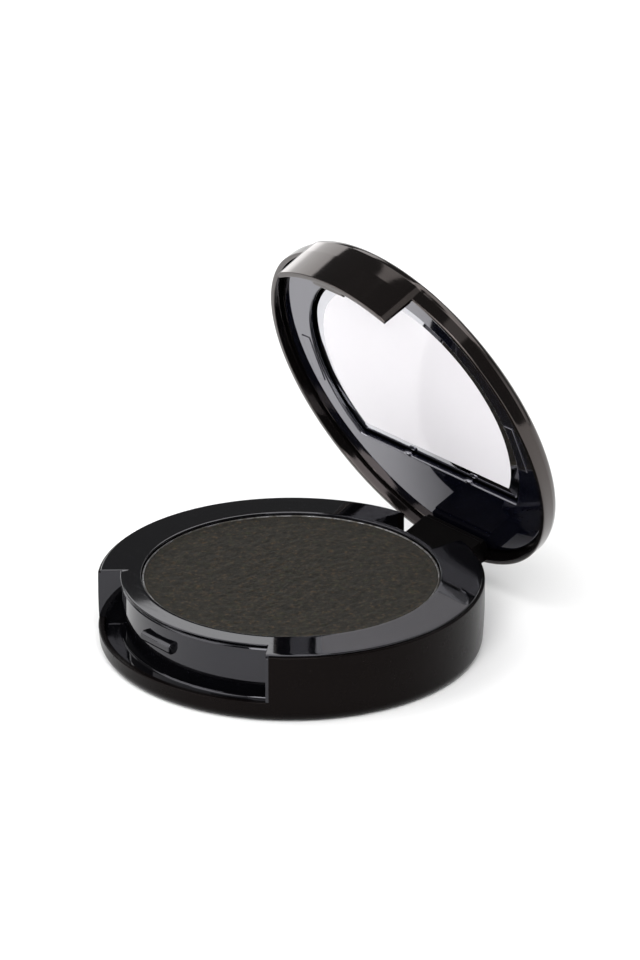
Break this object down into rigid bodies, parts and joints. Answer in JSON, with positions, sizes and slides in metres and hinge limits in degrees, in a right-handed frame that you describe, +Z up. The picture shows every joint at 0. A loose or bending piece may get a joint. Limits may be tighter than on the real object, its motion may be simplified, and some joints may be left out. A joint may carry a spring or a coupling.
{
  "type": "eyeshadow compact",
  "caption": "Round one-pan eyeshadow compact: dark satin case, gloss tray with a pressed powder pan, thumb window, and a hinged lid with a front tab and a D-shaped mirror.",
  "frame": {"origin": "centre of the underside, on the plane the compact stands on", "axes": "+Z up; -Y towards the thumb window; +Y towards the hinge; +X to the viewer's right"},
  "size_m": [0.048, 0.0537, 0.0492],
  "materials": {
    "case_satin": "satin",
    "lid_satin": "satin",
    "tray_gloss": "gloss",
    "liner_gloss": "gloss",
    "tinplate": "satin",
    "pin_steel": "satin",
    "pressed_powder": "matte",
    "mirror_glass": "polished",
    "foam_tape": "matte",
    "adhesive": "satin",
    "label_paper": "matte"
  },
  "bodies": {
    "base": {"base_shell": "case_satin", "bottom_label": "label_paper", "inner_tray": "tray_gloss", "pan_adhesive": "adhesive", "pan": "tinplate", "powder_cake": "pressed_powder", "hinge_pin": "pin_steel"},
    "lid": {"lid_shell": "lid_satin", "lid_liner": "liner_gloss", "mirror": "mirror_glass", "mirror_tape": "foam_tape"}
  },
  "joints": [
    {"name": "lid_hinge", "type": "hinge", "parent": "base", "child": "lid", "pos_m": [0, 0.02184, 0.00401], "axis": [-1, 0, 0], "range_deg": [-68.1, 36.9]}
  ]
}
